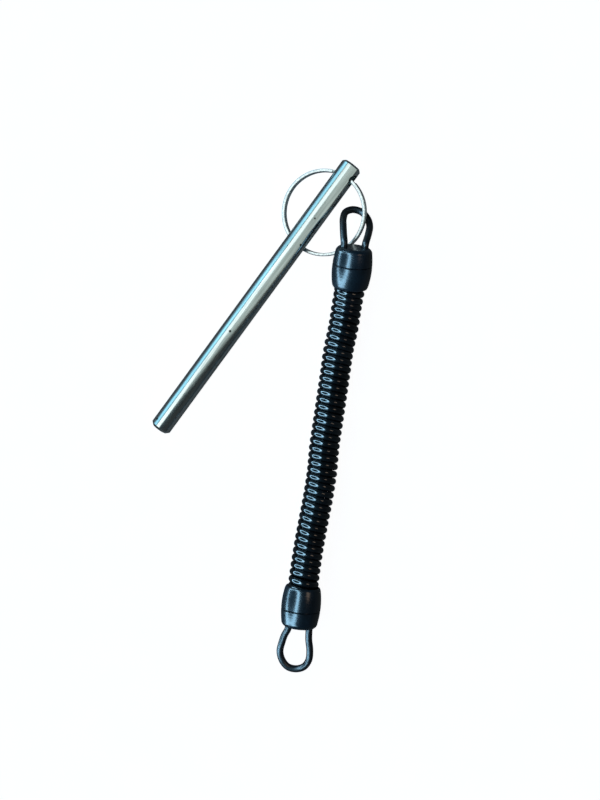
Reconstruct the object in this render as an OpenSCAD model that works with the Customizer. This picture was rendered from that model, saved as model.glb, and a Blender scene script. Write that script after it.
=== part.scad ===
// Hitch pin lock: a cross-drilled steel pin on a split ring, with a coiled plastic lanyard that
// ends in a free loop. It lies at rest on a flat surface, +Y along the pin towards its head.

/* [Pin] */
// Diameter of the pin, a 5/16 inch shank
pin_d = 7.94; // [7:0.01:9.6]
// Length of the pin
pin_len = 121.2; // [100:0.1:146]
// Chamfer at the free tip
tip_chamfer = 1; // [0.5:0.1:2.5]
// Chamfer at the head end
head_chamfer = 0.8; // [0.3:0.1:1.5]
// Diameter of the cross hole
hole_d = 4.5; // [4.2:0.1:5.4]
// Distance from the head end to the middle of the cross hole
hole_from_head = 4.8; // [4:0.1:6]
// Width of the flare at each mouth of the cross hole
hole_flare = 0.35; // [0.1:0.05:0.5]

/* [Split ring] */
// Outside diameter of the split ring
ring_od = 31.75; // [28:0.25:34]
// Width of the ring wire, measured across the ring
wire_w = 1.15; // [0.9:0.05:1.4]
// Thickness of one turn of the ring wire
wire_t = 1.6; // [1.3:0.05:1.8]
// Gap between the two turns where they lie together
turn_gap = 0.06; // [0.03:0.01:0.2]
// How far the two turns spring apart beside the pin
turn_spring = 0.4; // [0:0.05:0.6]
// Gap between the side of the pin and each end of the ring wire
end_gap = 0.7; // [0.6:0.1:2]

/* [Lanyard] */
// Diameter of the cord
cord_d = 2.6; // [2.2:0.1:2.8]
// Outside diameter of the coil
coil_od = 11.4; // [9.5:0.1:11.5]
// Distance between the two legs of a loop where they enter a barrel
leg_gap = 7.8; // [7:0.1:8]

/* [Barrels] */
// Largest diameter of a barrel
barrel_d = 14.6; // [14.4:0.1:15]
// Diameter of a barrel at its loop end, before the edge is rounded
nose_end_d = 12.6; // [12.4:0.1:13.4]
// Diameter of a barrel at its coil end
collar_end_d = 12.9; // [12.9:0.1:13.8]
// Radius of the rounded edge at the loop end
nose_round = 2; // [1:0.1:2.2]
// Length of the nose shell
nose_len = 6.4; // [6:0.1:7]
// Length of the collar shell
collar_len = 8.5; // [8:0.1:9.5]
// Thickness of the end wall and of the floor behind the coil
end_wall = 1.3; // [1:0.1:1.5]
// Depth of the recess that takes the end of the coil
recess_depth = 3; // [2:0.1:3.5]
// Wall of the ferrule outside its two bores
ferrule_wall = 0.5; // [0.4:0.05:0.6]
// Length of the tongue that centres the two shells
tongue_len = 1; // [0.5:0.1:1.4]
// Thickness of the tongue
tongue_wall = 0.45; // [0.3:0.05:0.5]

/* [Fits] */
// Clearance between the ring and the pin where the pin lies on the ring
lay_gap = 0.1; // [0.05:0.05:0.4]
// Clearance round a leg in a bore, on the radius
leg_fit = 0.1; // [0.05:0.05:0.2]
// Clearance round the coil in its recess, on the radius
coil_fit = 0.2; // [0.1:0.05:0.3]
// Clearance round the ferrule and the tongue, and in the seam
shell_fit = 0.1; // [0.05:0.05:0.2]
// Gap between the coil and the lower barrel, across the stretch
stretch_gap = 0.3; // [0.2:0.1:0.6]

/* [Lay] */
// Sideways distance of the pin from the middle of the ring
pin_aside = 1.5; // [0:0.1:3]
// Rise of the ring plane along +Y, per unit of length
ring_rise = 0.23; // [0.2:0.01:0.26]
// Rise of the ring plane along +X, per unit of length
ring_lean = 0.05; // [0.02:0.01:0.08]

/* [Hidden] */

EPS = 0.01;
steel_colour = [0.72, 0.75, 0.76];
ring_colour = [0.78, 0.8, 0.82];
cord_colour = [0.06, 0.07, 0.1];
shell_colour = [0.05, 0.05, 0.07];
brass_colour = [0.7, 0.58, 0.3];

// ---- the ring's lay: its plane leans, and its lowest edge touches the floor
pin_r = pin_d / 2;
ring_mid_r = (ring_od - wire_w) / 2;
ring_stack = 2 * wire_t + turn_gap;
ring_tilt = atan(sqrt(ring_rise * ring_rise + ring_lean * ring_lean));
ring_z = ring_od / 2 * sin(ring_tilt) + ring_stack / 2 * cos(ring_tilt);
// The ring's own axes in the part's frame: its X, its Y and its normal
tilt_axis = [ring_rise, -ring_lean, 0] / norm([ring_rise, ring_lean]);
ring_x = [cos(ring_tilt) + tilt_axis.x * tilt_axis.x * (1 - cos(ring_tilt)),
    tilt_axis.x * tilt_axis.y * (1 - cos(ring_tilt)), -tilt_axis.y * sin(ring_tilt)];
ring_y = [tilt_axis.x * tilt_axis.y * (1 - cos(ring_tilt)),
    cos(ring_tilt) + tilt_axis.y * tilt_axis.y * (1 - cos(ring_tilt)), tilt_axis.x * sin(ring_tilt)];
ring_n = cross(ring_x, ring_y);

// ---- the pin's lay: its tip is on the floor and its shank lies on the ring
rest_back = ring_mid_r - wire_w / 2;
hole_to_ring = sqrt(ring_mid_r * ring_mid_r - pin_aside * pin_aside) * cos(atan(ring_rise));
shoulder_run = pin_len - hole_from_head - tip_chamfer;
rest_run = shoulder_run - hole_to_ring - rest_back;
rest_z = ring_z - ring_lean * pin_aside - ring_rise * rest_back + ring_stack / 2 / cos(ring_tilt);
pin_slope = atan((rest_z + lay_gap) / rest_run);
pin_dir = [0, cos(pin_slope), sin(pin_slope)];
pin_mid = [-pin_aside, 0, pin_r / cos(pin_slope) + (pin_len / 2 - tip_chamfer) * sin(pin_slope)];
hole_at = pin_mid + (pin_len / 2 - hole_from_head) * pin_dir;
ring_at = [0, hole_at.y - hole_to_ring, ring_z];

// ---- the single wire through the hole, and the hole drilled along it
to_hole = hole_at - ring_at;
jog_at = atan2(to_hole * ring_y, to_hole * ring_x);
jog_half = asin((pin_r + end_gap) / ring_mid_r);
jog_rise = ring_stack - wire_t + turn_spring;
jog_pitch = atan(jog_rise / (ring_mid_r * jog_half * PI / 90));
wire_dir = (sin(jog_at) * ring_x - cos(jog_at) * ring_y) * cos(jog_pitch) + ring_n * sin(jog_pitch);
across_pin = wire_dir - (wire_dir * pin_dir) * pin_dir;
hole_lift = atan2(across_pin * [0, -sin(pin_slope), cos(pin_slope)], across_pin.x);

// ---- barrels, measured along their own axis from the loop end
barrel_len = nose_len + shell_fit + collar_len;
recess_at = barrel_len - recess_depth;
leg_bore_d = cord_d + 2 * leg_fit;
ferrule_w = leg_bore_d + 2 * ferrule_wall;
ferrule_reach = leg_gap / 2 + ferrule_w / 2;
chamber_r = ferrule_reach + shell_fit;
neck_r = leg_gap / 2 + cord_d / 2 + 4 * leg_fit;
ferrule_at = nose_len - 0.8;
ferrule_len = recess_at - end_wall - shell_fit - ferrule_at;
seam_round = 0.25;

// The lanyard's places are measured from the middle of the ring, along X and Y, and up from the floor
from_ring = [0, ring_at.y, 0];

// Where each barrel lies: the middle of its loop end, its heading, its pitch and its roll
upper_at = from_ring + [17.7, -4.4, 13.4];
upper_heading = -60.8;
upper_pitch = 21.5;
upper_roll = -15;
lower_at = from_ring + [84.7, -127.7, 7.4];
lower_heading = 120.9;
lower_pitch = 0;
lower_roll = 4;

// ---- the cord's routes, as round numbers: the upper loop and the lower loop between their two legs,
// and the coil between the two barrels
upper_mid = [[12.2, -3.5, 13.6], [9.5, -0.4, 11.2], [7.5, 2.1, 8.6], [6.4, 5, 5.8], [7.9, 7.6, 3.9],
    [11, 8.7, 3.4], [14.2, 7.9, 3.9], [16.6, 6, 5.6], [18.4, 2.9, 9]];
lower_mid = [[82.4, -133.5, 7], [83.2, -136.1, 6.7], [84.8, -139.7, 6], [87.6, -142, 5.4],
    [90.7, -142.7, 5], [93.6, -141.4, 4.8], [95.3, -138.9, 5], [95.2, -135.8, 5.4],
    [93.2, -132.4, 6], [90.6, -129.5, 6.6]];
coil_mid = [[27.4, -22.3, 6.1], [31.1, -29.2, 5.9], [34.9, -37.4, 5.8], [39.2, -45.2, 5.8],
    [43.5, -53.1, 5.8], [47.8, -61, 5.8], [52.1, -68.9, 5.8], [56.8, -76.5, 5.8], [61.1, -84.4, 5.8],
    [65.1, -92.5, 5.8], [69.1, -100.6, 5.9], [73, -107.9, 6.5]];

// A point of a barrel's own frame carried to where the barrel lies
function turned(v, heading, pitch, roll) =
    let (rolled = [v.x * cos(roll) - v.y * sin(roll), v.x * sin(roll) + v.y * cos(roll), v.z])
    let (along = [rolled.z * cos(pitch) - rolled.y * sin(pitch), -rolled.x,
        -rolled.y * cos(pitch) - rolled.z * sin(pitch)])
    [along.x * cos(heading) - along.y * sin(heading), along.x * sin(heading) + along.y * cos(heading), along.z];
function upper_point(v) = upper_at + turned(v, upper_heading, upper_pitch, upper_roll);
function lower_point(v) = lower_at + turned(v, lower_heading, lower_pitch, lower_roll);

leg_deep = ferrule_at + ferrule_len / 2;
leg_inside = 0.6;
leg_outside = -1.2;
coil_straight = 2;
upper_route = concat(
    [for (z = [leg_deep, leg_inside, leg_outside]) upper_point([leg_gap / 2, 0, z])],
    [for (p = upper_mid) from_ring + p],
    [for (z = [leg_outside, leg_inside, leg_deep]) upper_point([-leg_gap / 2, 0, z])]);
lower_route = concat(
    [for (z = [leg_deep, leg_inside, leg_outside]) lower_point([-leg_gap / 2, 0, z])],
    [for (p = lower_mid) from_ring + p],
    [for (z = [leg_outside, leg_inside, leg_deep]) lower_point([leg_gap / 2, 0, z])]);
coil_route = concat(
    [for (z = [recess_at, barrel_len, barrel_len + coil_straight]) upper_point([0, 0, z])],
    [for (p = coil_mid) from_ring + p],
    [for (z = [barrel_len + coil_straight, barrel_len, recess_at + stretch_gap]) lower_point([0, 0, z])]);

// ---- sweeping a section along a route
function unit(v) = v / norm(v);
function heading_at(route, i) = unit(route[min(i + 1, len(route) - 1)] - route[max(i - 1, 0)]);
function end_heading(route, i) =
    i == 0 ? unit(route[1] - route[0])
    : i == len(route) - 1 ? unit(route[i] - route[i - 1])
    : heading_at(route, i);
// Each ring's side axis is the one before it, turned as little as the route needs
function carried(side, dir) = unit(side - (side * dir) * dir);
function sides(route, first, i = 0, out = []) =
    i == len(route) ? out
    : sides(route, first, i + 1, concat(out, [carried(i == 0 ? first : out[i - 1], end_heading(route, i))]));

function ring_faces(rings, n) = concat(
    [for (i = [0 : rings - 2]) for (j = [0 : n - 1])
        [i * n + j, i * n + (j + 1) % n, (i + 1) * n + (j + 1) % n, (i + 1) * n + j]],
    [[for (j = [n - 1 : -1 : 0]) j]],
    [[for (j = [0 : n - 1]) (rings - 1) * n + j]]);

module tube(route, d, n) {
    axes = sides(route, cross(unit(route[1] - route[0]), [0, 0, 1]));
    points = [for (i = [0 : len(route) - 1]) for (j = [0 : n - 1])
        let (dir = end_heading(route, i))
        route[i] + d / 2 * (cos(360 * j / n) * axes[i] - sin(360 * j / n) * cross(axes[i], dir))];
    polyhedron(points, [for (f = ring_faces(len(route), n)) [for (k = [len(f) - 1 : -1 : 0]) f[k]]]);
}

// ---- the pin
module pin() {
    color(steel_colour)
    translate(pin_mid)
    rotate([pin_slope, 0, 0])
    difference() {
        rotate([-90, 0, 0])
        rotate_extrude($fn = 96)
        polygon([[0, -pin_len / 2], [pin_r - tip_chamfer, -pin_len / 2], [pin_r, -pin_len / 2 + tip_chamfer],
            [pin_r, pin_len / 2 - head_chamfer], [pin_r - head_chamfer, pin_len / 2], [0, pin_len / 2]]);
        translate([0, pin_len / 2 - hole_from_head, 0])
        rotate([0, 90 - hole_lift, 0]) {
            cylinder(d = hole_d, h = 2 * pin_d, center = true, $fn = 64);
            for (side = [-1, 1])
                translate([0, 0, side * pin_r])
                cylinder(d1 = hole_d + side * (-2 * hole_flare), d2 = hole_d + side * 2 * hole_flare,
                    h = 2 * hole_flare, center = true, $fn = 64);
        }
    }
}

// ---- the split ring: one wire, two turns, stepped over where it passes through the pin
wire_edge = 0.2;
turn_step = (360 - 2 * jog_half) / 45;
wire_section = [[-wire_w / 2 + wire_edge, -wire_t / 2], [wire_w / 2 - wire_edge, -wire_t / 2],
    [wire_w / 2, -wire_t / 2 + wire_edge], [wire_w / 2, wire_t / 2 - wire_edge],
    [wire_w / 2 - wire_edge, wire_t / 2], [-wire_w / 2 + wire_edge, wire_t / 2],
    [-wire_w / 2, wire_t / 2 - wire_edge], [-wire_w / 2, -wire_t / 2 + wire_edge]];
// Half the distance between the turns' middles, away from the pin and near it
function apart(a) = (wire_t + turn_gap) / 2 + turn_spring / 2 * pow((1 + cos(a)) / 2, 3);
function eased(t) = t * t * (3 - 2 * t);
// The wire's angle runs from its lower end, back round to the pin, through it and round again
wire_turns = concat([for (k = [0 : 44]) 360 - jog_half - k * turn_step],
    [for (k = [0 : 10]) jog_half * (1 - k / 5)],
    [for (k = [1 : 45]) -jog_half - k * turn_step]);
function wire_height(a) =
    abs(a) <= jog_half ? apart(jog_half) * (1 - 2 * eased((a + jog_half) / (2 * jog_half)))
    : a > 0 ? -apart(a)
    : apart(a);

module split_ring() {
    n = len(wire_section);
    points = [for (a = wire_turns) for (p = wire_section)
        let (r = ring_mid_r + p.x)
        [r * cos(a), r * sin(a), wire_height(a) + p.y]];
    color(ring_colour)
    translate(ring_at)
    rotate(a = ring_tilt, v = tilt_axis)
    rotate([0, 0, jog_at])
    polyhedron(points, ring_faces(len(wire_turns), n));
}

// ---- the barrels' shells, in a barrel's own frame
bulge_at = 8;
function barrel_r(z) =
    z < bulge_at
    ? barrel_d / 2 - (barrel_d - nose_end_d) / 2 * pow((bulge_at - z) / bulge_at, 2)
    : barrel_d / 2 - (barrel_d - collar_end_d) / 2 * pow((z - bulge_at) / (barrel_len - bulge_at), 2);

nose_outline = concat([[0, 0]],
    [for (a = [0 : 15 : 90])
        [barrel_r(nose_round) - nose_round + nose_round * sin(a), nose_round - nose_round * cos(a)]],
    [for (k = [1 : 4])
        let (z = nose_round + (nose_len - seam_round - nose_round) * k / 4) [barrel_r(z), z]],
    [[barrel_r(nose_len) - seam_round, nose_len], [0, nose_len]]);

collar_start = nose_len + shell_fit;
mouth_round = 1.2;
mouth_draw = 0.35;
collar_outline = concat([[0, collar_start], [barrel_r(collar_start) - seam_round, collar_start]],
    [for (k = [0 : 6])
        let (z = collar_start + seam_round + (collar_len - seam_round - mouth_round) * k / 6) [barrel_r(z), z]],
    [for (a = [22.5 : 22.5 : 90])
        let (z = barrel_len - mouth_round + mouth_round * sin(a)) [barrel_r(z) - mouth_draw * (1 - cos(a)), z]],
    [[0, barrel_len]]);

module leg_holes(d, from, to) {
    for (side = [-1, 1])
        translate([side * leg_gap / 2, 0, from])
        cylinder(d = d, h = to - from, $fn = 48);
}

module nose_shell() {
    color(shell_colour)
    difference() {
        union() {
            rotate_extrude($fn = 72) polygon(nose_outline);
            translate([0, 0, nose_len - EPS])
            cylinder(r = chamber_r + tongue_wall, h = tongue_len + EPS, $fn = 72);
        }
        leg_holes(cord_d + 4 * leg_fit, -1, end_wall + 1);
        translate([0, 0, end_wall])
        cylinder(r = neck_r, h = nose_len, $fn = 72);
        translate([0, 0, ferrule_at - shell_fit])
        cylinder(r = chamber_r, h = nose_len, $fn = 72);
    }
}

module collar_shell() {
    color(shell_colour)
    difference() {
        rotate_extrude($fn = 72) polygon(collar_outline);
        translate([0, 0, collar_start - 1])
        cylinder(r = chamber_r, h = recess_at - end_wall - collar_start + 1, $fn = 72);
        translate([0, 0, collar_start - 1])
        cylinder(r = chamber_r + tongue_wall + shell_fit, h = tongue_len + 1, $fn = 72);
        translate([0, 0, recess_at])
        cylinder(r = coil_od / 2 + coil_fit, h = recess_depth + 1, $fn = 72);
        translate([leg_gap / 2, 0, recess_at - end_wall - 1])
        cylinder(d = cord_d + 4 * leg_fit, h = end_wall + 2, $fn = 48);
    }
}

module ferrule() {
    color(brass_colour)
    translate([0, 0, ferrule_at])
    difference() {
        union() {
            translate([-leg_gap / 2, -ferrule_w / 2, 0])
            cube([leg_gap, ferrule_w, ferrule_len]);
            leg_holes(ferrule_w, 0, ferrule_len);
        }
        leg_holes(leg_bore_d, -1, ferrule_len + 1);
    }
}

module on_upper() {
    translate(upper_at)
    rotate([0, 0, upper_heading])
    rotate([0, upper_pitch, 0])
    rotate([0, 90, 0])
    rotate([0, 0, -90 + upper_roll])
    children();
}

module on_lower() {
    translate(lower_at)
    rotate([0, 0, lower_heading])
    rotate([0, lower_pitch, 0])
    rotate([0, 90, 0])
    rotate([0, 0, -90 + lower_roll])
    children();
}

module upper_nose() { on_upper() nose_shell(); }
module upper_collar() { on_upper() collar_shell(); }
module upper_ferrule() { on_upper() ferrule(); }
module lower_nose() { on_lower() nose_shell(); }
module lower_collar() { on_lower() collar_shell(); }
module lower_ferrule() { on_lower() ferrule(); }

// ---- the cord
cord_sides = 8;
coil_sides = 12;
module upper_loop() { color(cord_colour) tube(upper_route, cord_d, cord_sides); }
module lower_loop() { color(cord_colour) tube(lower_route, cord_d, cord_sides); }
module coil() { color(cord_colour) tube(coil_route, coil_od, coil_sides); }

pin();
split_ring();
upper_loop();
coil();
lower_loop();
upper_nose();
upper_collar();
upper_ferrule();
lower_nose();
lower_collar();
lower_ferrule();
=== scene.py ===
import math

import bmesh
import bpy
from mathutils import Matrix, Vector


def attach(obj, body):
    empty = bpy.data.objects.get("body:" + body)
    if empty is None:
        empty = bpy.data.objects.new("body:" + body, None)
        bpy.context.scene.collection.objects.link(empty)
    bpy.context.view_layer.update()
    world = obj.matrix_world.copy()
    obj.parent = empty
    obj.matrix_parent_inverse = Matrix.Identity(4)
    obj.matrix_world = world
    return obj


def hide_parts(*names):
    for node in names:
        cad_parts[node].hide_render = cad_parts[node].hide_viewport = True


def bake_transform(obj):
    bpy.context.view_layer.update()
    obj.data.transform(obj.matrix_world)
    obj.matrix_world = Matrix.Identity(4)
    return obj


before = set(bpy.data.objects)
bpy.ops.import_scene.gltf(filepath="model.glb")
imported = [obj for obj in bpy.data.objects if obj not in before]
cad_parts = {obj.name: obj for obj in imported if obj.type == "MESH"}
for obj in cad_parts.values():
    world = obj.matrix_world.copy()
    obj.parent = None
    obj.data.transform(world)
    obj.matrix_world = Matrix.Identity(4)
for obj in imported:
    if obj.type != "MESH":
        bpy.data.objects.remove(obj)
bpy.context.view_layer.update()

# Camera: a normal lens on a copy stand, looking almost straight down from 0.36 m above
# the table, with the lanyard hanging down the picture and the pin slanting to the left.
MM = 0.001
eye = Vector((59.2, -1.4, 356.6)) * MM
aim = Vector((34.2, -20.1, 0.0)) * MM
picture_up = Vector((-0.602, 0.799, 0.0))
picture_right = Vector((0.799, 0.602, 0.0))
look = (aim - eye).normalized()
side = look.cross(picture_up).normalized()
camera = bpy.data.objects.new("copy_stand_camera", bpy.data.cameras.new("copy_stand_camera"))
bpy.context.collection.objects.link(camera)
camera.matrix_world = Matrix.Translation(eye) @ Matrix((side, side.cross(look), -look)).transposed().to_4x4()
camera.data.sensor_fit = "VERTICAL"
camera.data.sensor_height = 24.0
camera.data.lens = 28.5
camera.data.clip_start = 0.01
bpy.context.scene.camera = camera
bpy.context.scene.view_settings.view_transform = "Standard"


# Cord: one length of black thermoplastic polyurethane, wound hot on a mandrel so that it
# springs shut into 44 closed turns, with a plain loop bent out of each end.
CORD_D = 2.6
COIL_OD = 11.4
LEG_GAP = 7.8
BARREL_LEN = 15.0
RECESS_AT = 12.0
STRETCH_GAP = 0.3


def barrel_frame(at, heading, pitch, roll):
    """A barrel's own frame: Z runs from its loop end to its coil end, X through its two legs."""
    turn = Matrix.Rotation(math.radians(heading), 4, "Z") @ Matrix.Rotation(math.radians(pitch), 4, "Y")
    turn = turn @ Matrix.Rotation(math.pi / 2, 4, "Y") @ Matrix.Rotation(math.radians(roll - 90), 4, "Z")
    return Matrix.Translation(Vector(at)) @ turn


RING_Y = 40.9138
upper = barrel_frame((17.7, RING_Y - 4.4, 13.4), -60.8, 21.5, -15)
lower = barrel_frame((84.7, RING_Y - 127.7, 7.4), 120.9, 0, 4)


def from_ring(*points):
    """Points measured from the middle of the ring, along X and Y, and up from the table."""
    return [Vector((x, y + RING_Y, z)) for x, y, z in points]


upper_mid = from_ring((12.2, -3.5, 13.6), (9.5, -0.4, 11.2), (7.5, 2.1, 8.6), (6.4, 5, 5.8), (7.9, 7.6, 3.9),
                      (11, 8.7, 3.4), (14.2, 7.9, 3.9), (16.6, 6, 5.6), (18.4, 2.9, 9))
lower_mid = from_ring((82.4, -133.5, 7), (83.2, -136.1, 6.7), (84.8, -139.7, 6), (87.6, -142, 5.4),
                      (90.7, -142.7, 5), (93.6, -141.4, 4.8), (95.3, -138.9, 5), (95.2, -135.8, 5.4),
                      (93.2, -132.4, 6), (90.6, -129.5, 6.6))
coil_mid = from_ring((27.4, -22.3, 6.1), (31.1, -29.2, 5.9), (34.9, -37.4, 5.8), (39.2, -45.2, 5.8),
                     (43.5, -53.1, 5.8), (47.8, -61, 5.8), (52.1, -68.9, 5.8), (56.8, -76.5, 5.8),
                     (61.1, -84.4, 5.8), (65.1, -92.5, 5.8), (69.1, -100.6, 5.9), (73, -107.9, 6.5))


def smooth_line(points, step):
    """A centripetal Catmull-Rom curve through the points, sampled evenly."""
    points = [Vector(p) for p in points]
    points = [2 * points[0] - points[1]] + points + [2 * points[-1] - points[-2]]
    fine = []
    for p0, p1, p2, p3 in zip(points, points[1:], points[2:], points[3:]):
        k01, k12, k23 = (max((b - a).length, 1e-6) ** 0.5 for a, b in ((p0, p1), (p1, p2), (p2, p3)))
        out = (p1 - p0) / k01 - (p2 - p0) / (k01 + k12) + (p2 - p1) / k12
        into = (p2 - p1) / k12 - (p3 - p1) / (k12 + k23) + (p3 - p2) / k23
        out, into = out * k12, into * k12
        for i in range(40):
            t = i / 40
            fine.append(p1 + out * t + (3 * (p2 - p1) - 2 * out - into) * t * t
                        + (2 * (p1 - p2) + out + into) * t ** 3)
    fine.append(points[-2])
    return evenly(fine, step)


def evenly(line, step):
    """The same line with its points a step apart."""
    total = sum((b - a).length for a, b in zip(line, line[1:]))
    count = max(2, round(total / step))
    gap, due, gone, out = total / count, 0.0, 0.0, []
    for a, b in zip(line, line[1:]):
        span = (b - a).length
        while due <= gone + span and len(out) < count:
            out.append(a.lerp(b, (due - gone) / span if span else 0))
            due += gap
        gone += span
    return out + [line[-1]]


def in_barrel(barrel, *points):
    return [barrel @ Vector(p) for p in points]


half = LEG_GAP / 2
away, back = [(-half, 0, z) for z in (9.8, 5, 0.6, -1.2)], [(half, 0, z) for z in (-1.2, 0.6, 5, 9.4)]
upper_line = in_barrel(upper, *away) + upper_mid[::-1] + in_barrel(upper, *back)
lower_line = in_barrel(lower, *reversed(back)) + lower_mid[::-1] + in_barrel(lower, *reversed(away))

# The helix runs round the coil's centreline in a frame that is carried along it without twist
axis_line = in_barrel(upper, (0, 0, RECESS_AT), (0, 0, BARREL_LEN), (0, 0, BARREL_LEN + 2)) + coil_mid
axis_line += in_barrel(lower, (0, 0, BARREL_LEN + 2), (0, 0, BARREL_LEN), (0, 0, RECESS_AT + STRETCH_GAP))
axis_line = smooth_line(axis_line, 0.25)
MANDREL_R = (COIL_OD - CORD_D) / 2
axis_step = sum((b - a).length for a, b in zip(axis_line, axis_line[1:])) / (len(axis_line) - 1)
WALL_ROOM = 1.5
bare = round(WALL_ROOM / axis_step)
frames, across = [], upper.to_3x3() @ Vector((1, 0, 0))
for i, point in enumerate(axis_line):
    ahead = (axis_line[min(i + 1, len(axis_line) - 1)] - axis_line[max(i - 1, 0)]).normalized()
    across = (across - across.dot(ahead) * ahead).normalized()
    frames.append((point, across, ahead.cross(across)))
frames = frames[bare:-bare]
leg_out = lower.to_3x3() @ Vector((1, 0, 0))
end_phase = math.atan2(leg_out.dot(frames[-1][2]), leg_out.dot(frames[-1][1]))
lead = math.radians(40)
wound = (len(frames) - 1) * axis_step
turns = round(wound / CORD_D)
start_phase, stop_phase = -lead, end_phase + lead - 2 * math.pi * turns
if stop_phase - start_phase > -2 * math.pi * (turns - 0.5):
    stop_phase -= 2 * math.pi
PER_TURN = 40
steps = PER_TURN * turns
helix = []
for i in range(steps + 1):
    place = (len(frames) - 1) * i / steps
    low = min(int(place), len(frames) - 2)
    mix = place - low
    angle = start_phase + (stop_phase - start_phase) * i / steps
    point, e1, e2 = (frames[low][k].lerp(frames[low + 1][k], mix) for k in range(3))
    helix.append(point + MANDREL_R * (math.cos(angle) * e1.normalized() + math.sin(angle) * e2.normalized()))

upper_bend, lower_bend = smooth_line(upper_line, 0.5), smooth_line(lower_line, 0.5)
upper_lead = smooth_line([upper_line[-1], upper @ Vector((half, 0, 11)), helix[0]], 0.5)[1:-1]
lower_lead = smooth_line([helix[-1], lower @ Vector((half, 0, 11)), lower_line[0]], 0.5)[1:-1]
cord_line = upper_bend + upper_lead + helix + lower_lead + lower_bend
cord_path = [p * MM for p in cord_line]


def linear(code):
    """An sRGB hex colour as linear RGBA."""
    values = [int(code[i:i + 2], 16) / 255 for i in (1, 3, 5)]
    return [v / 12.92 if v <= 0.04045 else ((v + 0.055) / 1.055) ** 2.4 for v in values] + [1.0]


def add(tree, kind, links=(), **settings):
    """Adds one node; a setting named after an input sets it, any other is the node's own."""
    made = tree.nodes.new(kind)
    for key, value in settings.items():
        if key.startswith("in_"):
            socket = key[3:]
            made.inputs[int(socket) if socket.isdigit() else socket.replace("_", " ")].default_value = value
        else:
            setattr(made, key, value)
    for source, socket, target in links:
        tree.links.new(source.outputs[socket], made.inputs[target])
    return made


def new_material(name):
    """An empty node material, ready for a shader and its output."""
    made = bpy.data.materials.new(name)
    made.use_nodes = True
    made.node_tree.nodes.clear()
    return made, made.node_tree


def finish_material(tree, shader):
    add(tree, "ShaderNodeOutputMaterial", [(shader, "BSDF", "Surface")])


def ramp(tree, source, socket, stops):
    """A colour ramp from (position, hex) stops."""
    made = add(tree, "ShaderNodeValToRGB", [(source, socket, "Fac")])
    elements = made.color_ramp.elements
    while len(elements) < len(stops):
        elements.new(0.5)
    for element, (position, code) in zip(elements, stops):
        element.position = position
        element.color = linear(code)
    return made


# Glossy extruded polyurethane: a deep blue-black with a wet shine, clouded over about 8 mm
# where it cooled on the mandrel, with a drag texture of about 1 mm, coarser than the real one
# so that it shows. The two loops keep a duller skin.
cord_black, tree = new_material("black_polyurethane_cord")
place = add(tree, "ShaderNodeTexCoord")
drag = add(tree, "ShaderNodeTexNoise", [(place, "Object", "Vector")], in_Scale=900.0, in_Detail=3.0)
cloud = add(tree, "ShaderNodeTexNoise", [(place, "Object", "Vector")], in_Scale=120.0, in_Detail=2.0)
shade = ramp(tree, cloud, "Fac", [(0.35, "#030405"), (0.65, "#07090b")])
glossy = add(tree, "ShaderNodeMapRange", [(cloud, "Fac", "Value")], in_3=0.1, in_4=0.18)
plain = add(tree, "ShaderNodeAttribute", attribute_name="unwound")
rough = add(tree, "ShaderNodeMapRange", [(plain, "Fac", "Value"), (glossy, "Result", "To Min")], in_4=0.36)
bump = add(tree, "ShaderNodeBump", [(drag, "Fac", "Height")], in_Strength=0.04, in_Distance=0.00005)
finish_material(tree, add(tree, "ShaderNodeBsdfPrincipled", [(shade, "Color", "Base Color"),
                (rough, "Result", "Roughness"), (bump, "Normal", "Normal")], in_IOR=1.53))


def tube_nodes(material):
    """Geometry Nodes: sweeps a round section along a line of points, closes its ends, shades it smooth."""
    tree = bpy.data.node_groups.new("extruded_cord", "GeometryNodeTree")
    sockets = tree.interface
    sockets.new_socket("Line", in_out="INPUT", socket_type="NodeSocketGeometry")
    sockets.new_socket("Radius", in_out="INPUT", socket_type="NodeSocketFloat")
    sockets.new_socket("Sides", in_out="INPUT", socket_type="NodeSocketInt")
    sockets.new_socket("Cord", in_out="OUTPUT", socket_type="NodeSocketGeometry")
    given = add(tree, "NodeGroupInput")
    line = add(tree, "GeometryNodeMeshToCurve", [(given, "Line", "Mesh")])
    section = add(tree, "GeometryNodeCurvePrimitiveCircle",
                  [(given, "Radius", "Radius"), (given, "Sides", "Resolution")])
    swept = add(tree, "GeometryNodeCurveToMesh",
                [(line, "Curve", "Curve"), (section, "Curve", "Profile Curve")])
    swept.inputs["Fill Caps"].default_value = True
    smooth = add(tree, "GeometryNodeSetShadeSmooth", [(swept, "Mesh", "Geometry")])
    real = add(tree, "GeometryNodeRealizeInstances", [(smooth, "Geometry", "Geometry")])
    dressed = add(tree, "GeometryNodeSetMaterial", [(real, "Geometry", "Geometry")])
    dressed.inputs["Material"].default_value = material
    add(tree, "NodeGroupOutput", [(dressed, "Geometry", "Cord")])
    return tree


def object_from(name, verts, edges=(), faces=()):
    mesh = bpy.data.meshes.new(name)
    mesh.from_pydata([tuple(v) for v in verts], list(edges), list(faces))
    made = bpy.data.objects.new(name, mesh)
    bpy.context.collection.objects.link(made)
    return made


def from_nodes(name, line, tree, **inputs):
    """Runs a Geometry Nodes tree on a line of points and keeps the result as a plain mesh."""
    maker = object_from(name + "_line", line, [(i, i + 1) for i in range(len(line) - 1)])
    modifier = maker.modifiers.new("make", "NODES")
    modifier.node_group = tree
    for item in tree.interface.items_tree:
        if item.in_out == "INPUT" and item.name in inputs:
            modifier[item.identifier] = inputs[item.name]
    depsgraph = bpy.context.evaluated_depsgraph_get()
    mesh = bpy.data.meshes.new_from_object(maker.evaluated_get(depsgraph))
    made = bpy.data.objects.new(name, mesh)
    bpy.context.collection.objects.link(made)
    bpy.data.objects.remove(maker)
    return made


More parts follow.
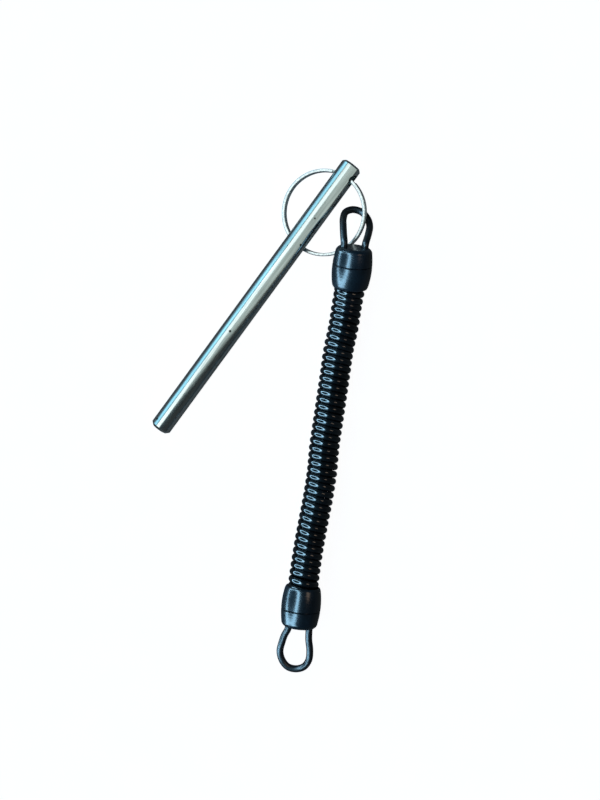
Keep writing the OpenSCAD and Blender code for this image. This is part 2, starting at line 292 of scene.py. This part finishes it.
CORD_SIDES = 18
cord = from_nodes("coiled_cord", cord_path, tube_nodes(cord_black),
                  Radius=CORD_D / 2 * MM, Sides=CORD_SIDES)
# The two loops never touched the mandrel, so they keep the duller skin of the extrusion
unwound = cord.data.attributes.new("unwound", "FLOAT", "POINT")
for vertex in cord.data.vertices:
    place = vertex.index // CORD_SIDES
    on_loop = place < len(upper_bend) or place >= len(cord_path) - len(lower_bend)
    unwound.data[vertex.index].value = float(on_loop)
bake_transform(cord)
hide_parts("upper_loop", "coil", "lower_loop")
on_cord = ["upper_nose", "upper_collar", "upper_ferrule", "lower_nose", "lower_collar", "lower_ferrule"]


# Barrels: two moulded shells each, a nose with two leg holes and a collar that takes the coil,
# in semi-gloss black nylon: flow marks about 6 mm across and a spark-eroded grain of 0.5 mm.
barrel_black, tree = new_material("black_moulded_nylon")
place = add(tree, "ShaderNodeTexCoord")
grain = add(tree, "ShaderNodeTexNoise", [(place, "Object", "Vector")], in_Scale=2200.0, in_Detail=4.0)
flow = add(tree, "ShaderNodeTexNoise", [(place, "Object", "Vector")], in_Scale=160.0, in_Detail=3.0)
shade = ramp(tree, flow, "Fac", [(0.3, "#04080b"), (0.7, "#081117")])
rough = add(tree, "ShaderNodeMapRange", [(flow, "Fac", "Value")], in_3=0.2, in_4=0.3)
bump = add(tree, "ShaderNodeBump", [(grain, "Fac", "Height")], in_Strength=0.08, in_Distance=0.00004)
finish_material(tree, add(tree, "ShaderNodeBsdfPrincipled", [(shade, "Color", "Base Color"),
                (rough, "Result", "Roughness"), (bump, "Normal", "Normal")], in_IOR=1.53))
for name in ("upper_nose", "upper_collar", "lower_nose", "lower_collar"):
    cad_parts[name].data.materials.clear()
    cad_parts[name].data.materials.append(barrel_black)


# Ferrules: a short brass sleeve with two bores inside each barrel, crimped on the loop's legs,
# plain and dulled in patches of about 1.5 mm.
brass, tree = new_material("crimped_brass")
place = add(tree, "ShaderNodeTexCoord")
dull = add(tree, "ShaderNodeTexNoise", [(place, "Object", "Vector")], in_Scale=700.0, in_Detail=4.0)
shade = ramp(tree, dull, "Fac", [(0.3, "#8c6f3a"), (0.7, "#c3a25c")])
rough = add(tree, "ShaderNodeMapRange", [(dull, "Fac", "Value")], in_3=0.28, in_4=0.5)
finish_material(tree, add(tree, "ShaderNodeBsdfPrincipled", [(shade, "Color", "Base Color"),
                (rough, "Result", "Roughness")], in_Metallic=1.0))
for name in ("upper_ferrule", "lower_ferrule"):
    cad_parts[name].data.materials.clear()
    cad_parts[name].data.materials.append(brass)


# Split ring: nickel-plated spring-steel wire of flattened section, wound twice round and sprung
# over where it passes through the pin, so that one wire is in the hole and an end lies on each side.
# Its plating shows draw marks of about 0.7 mm.
RING_OD, WIRE_W, WIRE_T = 31.75, 1.15, 1.6
TURN_GAP, TURN_SPRING = 0.06, 0.4
RISE, LEAN = 0.23, 0.05
PIN_D, END_GAP = 7.94, 0.7
ring_r = (RING_OD - WIRE_W) / 2
JOG = math.degrees(math.asin((PIN_D / 2 + END_GAP) / ring_r))
tilt = math.atan(math.hypot(RISE, LEAN))
ring_z = RING_OD / 2 * math.sin(tilt) + (WIRE_T + TURN_GAP / 2) * math.cos(tilt)
hole_at = Vector((-1.5, 55.7527, 8.72399))
ring_at = Vector((0, RING_Y, ring_z))
ring_turn = Matrix.Rotation(tilt, 3, Vector((RISE, -LEAN, 0)))
local = ring_turn.inverted() @ (hole_at - ring_at)
jog_at = math.atan2(local.y, local.x)


def wire_height(a):
    """Height of the wire's middle over the ring's middle plane, a degrees round from the pin."""
    apart = (WIRE_T + TURN_GAP) / 2 + TURN_SPRING / 2 * ((1 + math.cos(math.radians(a))) / 2) ** 3
    if abs(a) <= JOG:
        t = (a + JOG) / (2 * JOG)
        return apart * (1 - 2 * t * t * (3 - 2 * t))
    return -apart if a > 0 else apart


def rounded_section(w, t, r, n):
    """A rectangle with round corners, as points anticlockwise."""
    points = []
    for k, (sx, sy) in enumerate(((1, -1), (1, 1), (-1, 1), (-1, -1))):
        for i in range(n + 1):
            a = math.radians(-90 + 90 * k + 90 * i / n)
            points.append((sx * (w / 2 - r) + r * math.cos(a), sy * (t / 2 - r) + r * math.sin(a)))
    return points


section = rounded_section(WIRE_W, WIRE_T, 0.28, 4)
STEP = (360 - 2 * JOG) / 160
angles = [360 - JOG - STEP * i for i in range(160)] + [JOG - JOG * i / 12 for i in range(25)]
angles += [-JOG - STEP * i for i in range(1, 161)]
verts, faces = [], []
for a in angles:
    turn = jog_at + math.radians(a)
    for x, y in section:
        point = Vector(((ring_r + x) * math.cos(turn), (ring_r + x) * math.sin(turn), wire_height(a) + y))
        verts.append((ring_at + ring_turn @ point) * MM)
n = len(section)
for i in range(len(angles) - 1):
    for j in range(n):
        faces.append((i * n + j, (i + 1) * n + j, (i + 1) * n + (j + 1) % n, i * n + (j + 1) % n))
faces.append(tuple(range(n)))
faces.append(tuple((len(angles) - 1) * n + j for j in reversed(range(n))))
ring = object_from("sprung_ring_wire", verts, (), faces)


def outward(piece):
    """Turns a closed mesh's faces outwards and shades it smooth but for its sharp edges."""
    mesh = bmesh.new()
    mesh.from_mesh(piece.data)
    bmesh.ops.recalc_face_normals(mesh, faces=mesh.faces)
    mesh.to_mesh(piece.data)
    mesh.free()
    piece.data.shade_smooth()
    piece.data.set_sharp_from_angle(angle=math.radians(40))


outward(ring)
ring_nickel, tree = new_material("nickel_plated_spring_steel")
place = add(tree, "ShaderNodeTexCoord")
draw = add(tree, "ShaderNodeTexNoise", [(place, "Object", "Vector")], in_Scale=1400.0, in_Detail=5.0)
shade = ramp(tree, draw, "Fac", [(0.3, "#b4babd"), (0.7, "#eef4f5")])
rough = add(tree, "ShaderNodeMapRange", [(draw, "Fac", "Value")], in_3=0.14, in_4=0.3)
bump = add(tree, "ShaderNodeBump", [(draw, "Fac", "Height")], in_Strength=0.12, in_Distance=0.00005)
finish_material(tree, add(tree, "ShaderNodeBsdfPrincipled", [(shade, "Color", "Base Color"),
                (rough, "Result", "Roughness"), (bump, "Normal", "Normal")], in_Metallic=1.0))
ring.data.materials.append(ring_nickel)
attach(ring, "ring")
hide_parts("split_ring")


# Pin: bright-drawn steel bar, cut and chamfered, cross-drilled near the head, zinc bright.
# It shows lengthwise draw lines 0.2 to 1 mm apart, a satin shine and a few dark pits under 1 mm.
pin_steel, tree = new_material("bright_drawn_steel")
place = add(tree, "ShaderNodeTexCoord")
along = add(tree, "ShaderNodeMapping", [(place, "Object", "Vector")], in_Scale=(5200.0, 60.0, 5200.0))
drawn = add(tree, "ShaderNodeTexNoise", [(along, "Vector", "Vector")], in_Scale=1.0, in_Detail=4.0)
broad = add(tree, "ShaderNodeMapping", [(place, "Object", "Vector")], in_Scale=(900.0, 30.0, 900.0))
bands = add(tree, "ShaderNodeTexNoise", [(broad, "Vector", "Vector")], in_Scale=1.0, in_Detail=3.0)
pits = add(tree, "ShaderNodeTexVoronoi", [(place, "Object", "Vector")], in_Scale=180.0)
pit_edge = ramp(tree, pits, "Distance", [(0.06, "#000000"), (0.1, "#ffffff")])
shade = ramp(tree, bands, "Fac", [(0.3, "#b9bfbe"), (0.7, "#e4eae9")])
dark = add(tree, "ShaderNodeMix", data_type="RGBA", blend_type="MULTIPLY")
dark.inputs[0].default_value = 1.0
tree.links.new(shade.outputs["Color"], dark.inputs[6])
tree.links.new(pit_edge.outputs["Color"], dark.inputs[7])
rough = add(tree, "ShaderNodeMapRange", [(drawn, "Fac", "Value")], in_3=0.1, in_4=0.22)
bump = add(tree, "ShaderNodeBump", [(drawn, "Fac", "Height")], in_Strength=0.1, in_Distance=0.00004)
steel = add(tree, "ShaderNodeBsdfPrincipled", [(rough, "Result", "Roughness"), (bump, "Normal", "Normal")],
            in_Metallic=1.0)
tree.links.new(dark.outputs[2], steel.inputs["Base Color"])
finish_material(tree, steel)
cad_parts["pin"].data.materials.clear()
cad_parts["pin"].data.materials.append(pin_steel)


# Table and light: a plain white table in a dim room, which reflections see as a painted dark grey floor,
# with soft overhead strips for the bright steel and, for the black pieces, a large ring-shaped lamp on the
# left and a small warm one.
HALF_TABLE, UNDER = 1.5, 0.2 * MM
corners = [(x * HALF_TABLE, y * HALF_TABLE, -UNDER) for x, y in ((-1, -1), (1, -1), (1, 1), (-1, 1))]
table = object_from("white_table", corners, (), [(0, 1, 2, 3)])
table_white, tree = new_material("white_laminate")
place = add(tree, "ShaderNodeTexCoord")
fleck = add(tree, "ShaderNodeTexNoise", [(place, "Object", "Vector")], in_Scale=60.0, in_Detail=2.0)
shade = ramp(tree, fleck, "Fac", [(0.3, "#fefefe"), (0.7, "#ffffff")])
lit = add(tree, "ShaderNodeEmission", [(shade, "Color", "Color")], in_Strength=0.96)
sheet = add(tree, "ShaderNodeBsdfDiffuse", [(shade, "Color", "Color")])
seen = add(tree, "ShaderNodeAddShader", [(lit, "Emission", 0), (sheet, "BSDF", 1)])
# Painted shade: every ray but the camera's sees the table as a flat dark grey glow instead of the lit white
# sheet, so the steel and black plastic reflect a painted dark floor.
painted_floor_shade = add(tree, "ShaderNodeEmission", in_Color=linear("#474e52"), in_Strength=1.0)
ray = add(tree, "ShaderNodeLightPath")
pick = add(tree, "ShaderNodeMixShader",
           [(ray, "Is Camera Ray", 0), (painted_floor_shade, "Emission", 1), (seen, "Shader", 2)])
add(tree, "ShaderNodeOutputMaterial", [(pick, "Shader", "Surface")])
table.data.materials.append(table_white)

LAMP_AWAY = 0.7


def lights_only(lamp, name, pieces):
    """Keeps a lamp's light to the given pieces."""
    group = bpy.data.collections.new(name)
    for piece in pieces:
        group.objects.link(piece)
    lamp.light_linking.receiver_collection = group


def overhead_strip(name, start, stop, code, strength, turn=0.0, length=1.8, shift=0.0):
    """A strip light along the pin, between two angles from the vertical, as the bright steel sees it."""
    middle, half_width = math.radians((start + stop) / 2), math.radians((stop - start) / 2)
    lamp = bpy.data.objects.new(name, bpy.data.lights.new(name, "AREA"))
    bpy.context.collection.objects.link(lamp)
    lamp.data.shape = "RECTANGLE"
    lamp.data.size, lamp.data.size_y = 2 * LAMP_AWAY * math.tan(half_width), length
    lamp.data.color = linear(code)[:3]
    lamp.data.energy = strength * lamp.data.size * lamp.data.size_y * math.pi
    lamp.matrix_world = (Matrix.Rotation(middle, 4, "Y") @ Matrix.Translation((0, 0, LAMP_AWAY))
                         @ Matrix.Rotation(math.radians(turn), 4, "Z") @ Matrix.Translation((0, shift, 0)))
    lights_only(lamp, name + "_pieces", [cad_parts["pin"], ring])


overhead_strip("dim_window_strip", -89, -77, "#86b4ca", 0.9)
overhead_strip("blue_window_strip", -76, -47, "#a4e9ff", 1.4)
overhead_strip("white_strip", -40, -3, "#f4fffd", 1.45)
overhead_strip("ceiling_strip", -2, 82, "#d0ddd7", 0.85, turn=15, length=1.0, shift=0.42)


def up_and_right(angle):
    """A direction in the picture's upright plane, an angle to the right of the vertical."""
    return picture_right * math.sin(math.radians(angle)) + Vector((0, 0, math.cos(math.radians(angle))))


black_pieces = [cord] + [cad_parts[n] for n in on_cord]


def round_lamp(name, to, inner, outer, code, strength):
    """A flat ring-shaped lamp that faces the table's middle, between two angles from its centre line."""
    turn, sides, verts = to.to_track_quat("Z", "Y").to_matrix().to_4x4(), 64, []
    for angle in (inner, outer):
        r = LAMP_AWAY * math.tan(math.radians(angle))
        for i in range(sides):
            a = 2 * math.pi * i / sides
            verts.append(turn @ Vector((r * math.cos(a), r * math.sin(a), LAMP_AWAY)))
    faces = [(i, (i + 1) % sides, sides + (i + 1) % sides, sides + i) for i in range(sides)]
    lamp = object_from(name, verts, (), faces)
    shine, tree = new_material(name + "_glow")
    glow = add(tree, "ShaderNodeEmission", in_Color=linear(code), in_Strength=strength)
    add(tree, "ShaderNodeOutputMaterial", [(glow, "Emission", "Surface")])
    lamp.data.materials.append(shine)
    lamp.visible_camera = False
    lamp.visible_shadow = False
    lights_only(lamp, name + "_pieces", black_pieces)


round_lamp("ring_lamp", up_and_right(-54), 30, 44, "#a9dfff", 20.0)
round_lamp("warm_lamp", up_and_right(42), 1, 10, "#ffe3c8", 2.8)

# The room: bluish on the left, dark overhead and grey on the right, with a pale wall behind the table
world = bpy.data.worlds.new("soft_studio")
bpy.context.scene.world = world
world.use_nodes = True
tree = world.node_tree
tree.nodes.clear()
ray = add(tree, "ShaderNodeTexCoord")
to_right = add(tree, "ShaderNodeVectorMath", [(ray, "Generated", 0)], operation="DOT_PRODUCT")
to_right.inputs[1].default_value = picture_right
room_at = add(tree, "ShaderNodeMapRange", [(to_right, "Value", "Value")], in_1=-1.0, in_2=1.0)
room = ramp(tree, room_at, "Result", [(0.0, "#3c6a86"), (0.3, "#3f6b84"), (0.5, "#2f3d45"), (0.7, "#2a2f31"),
                                      (1.0, "#3a3e3f")])
glow = add(tree, "ShaderNodeBackground", [(room, "Color", "Color")], in_Strength=1.0)
wall = add(tree, "ShaderNodeBackground", in_Color=linear("#f4f6f7"), in_Strength=1.0)
ray = add(tree, "ShaderNodeLightPath")
seen = add(tree, "ShaderNodeMixShader",
           [(ray, "Is Camera Ray", 0), (glow, "Background", 1), (wall, "Background", 2)])
add(tree, "ShaderNodeOutputWorld", [(seen, "Shader", "Surface")])
